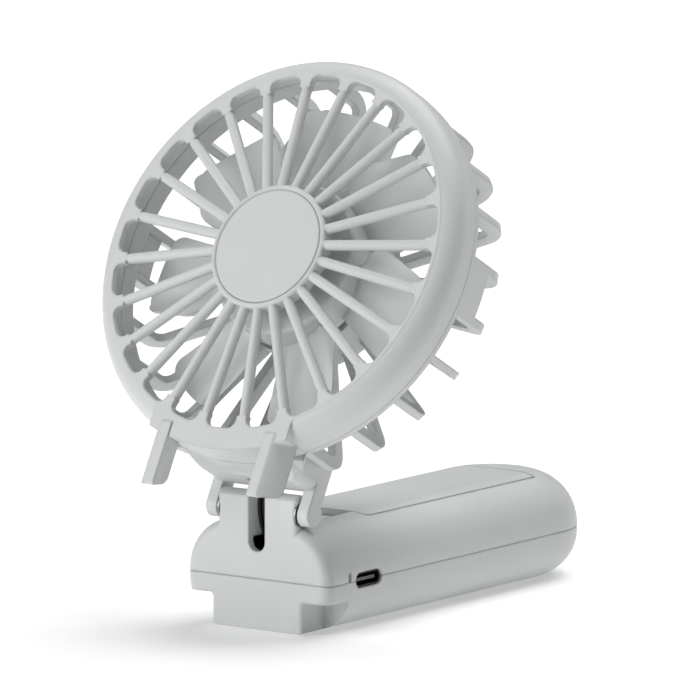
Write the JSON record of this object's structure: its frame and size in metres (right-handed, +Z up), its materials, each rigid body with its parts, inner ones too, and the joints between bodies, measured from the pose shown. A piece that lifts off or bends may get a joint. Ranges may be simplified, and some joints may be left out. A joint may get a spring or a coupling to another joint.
{
  "type": "folding handheld fan",
  "caption": "Folding handheld electric fan: flat battery handle that doubles as a stand, hinged round caged head with spoked front grille and motor-driven impeller.",
  "frame": {"origin": "on the surface the handle lies on, in the middle of the outer box", "axes": "+Z up, +X across the handle, +Y from the hinge end towards the far end of the handle; the fan blows towards -Y"},
  "size_m": [0.0912, 0.1274, 0.1204],
  "materials": {
    "shell_plastic": "satin, fine grained",
    "blade_plastic": "satin",
    "badge_plastic": "satin",
    "lens_plastic": "frosted",
    "black_plastic": "satin",
    "port_metal": "darkened",
    "tongue_plastic": "satin",
    "steel": "zinc plated",
    "spring_steel": "plain",
    "brass": "plain",
    "board": "solder mask",
    "ferrite": "plain",
    "nickel": "plated strip",
    "sleeve_film": "shrink film",
    "red_wire": "satin",
    "black_wire": "satin",
    "copper": "enamelled wire and laminations"
  },
  "bodies": {
    "handle": {"front_shell": "shell_plastic", "back_shell": "shell_plastic", "back_cover": "shell_plastic", "case_screws": "steel", "tact_switch": "black_plastic", "circuit_board": "board", "board_chips": "black_plastic", "board_coil": "ferrite", "board_screws": "steel", "status_led": "lens_plastic", "light_pipe": "lens_plastic", "usb_socket": "port_metal", "usb_tongue": "tongue_plastic", "battery_cell": "steel", "battery_sleeve": "sleeve_film", "battery_tabs": "nickel", "battery_leads": "red_wire", "friction_washers": "spring_steel", "motor_lead": "black_wire"},
    "head": {"hinge_pins": "steel", "rear_guard": "shell_plastic", "front_grille": "shell_plastic", "hub_badge": "badge_plastic", "guard_screws": "steel", "motor_can": "steel", "motor_end_cap": "black_plastic", "motor_magnets": "ferrite", "motor_bushes": "brass", "motor_terminals": "brass", "motor_retainer": "shell_plastic", "motor_screws": "steel", "motor_cover": "shell_plastic"},
    "rotor": {"motor_armature": "copper", "motor_shaft": "steel", "impeller": "blade_plastic"},
    "button": {"power_button": "shell_plastic", "switch_plunger": "black_plastic"}
  },
  "joints": [
    {"name": "head_fold", "type": "hinge", "parent": "handle", "child": "head", "pos_m": [0, -0.04065, 0.026], "axis": [1, 0, 0], "range_deg": [-61.2, 118.8], "deforming": ["motor_lead"]},
    {"name": "impeller_spin", "type": "hinge", "parent": "head", "child": "rotor", "pos_m": [0, -0.03927, 0.08332], "axis": [0, -0.8763, 0.4818], "continuous": true},
    {"name": "button_press", "type": "slide", "parent": "handle", "child": "button", "axis": [0, 0, 1], "range_m": [0, 0.0003], "stiffness_N_per_m": 1500, "springref_m": -0.0003}
  ]
}
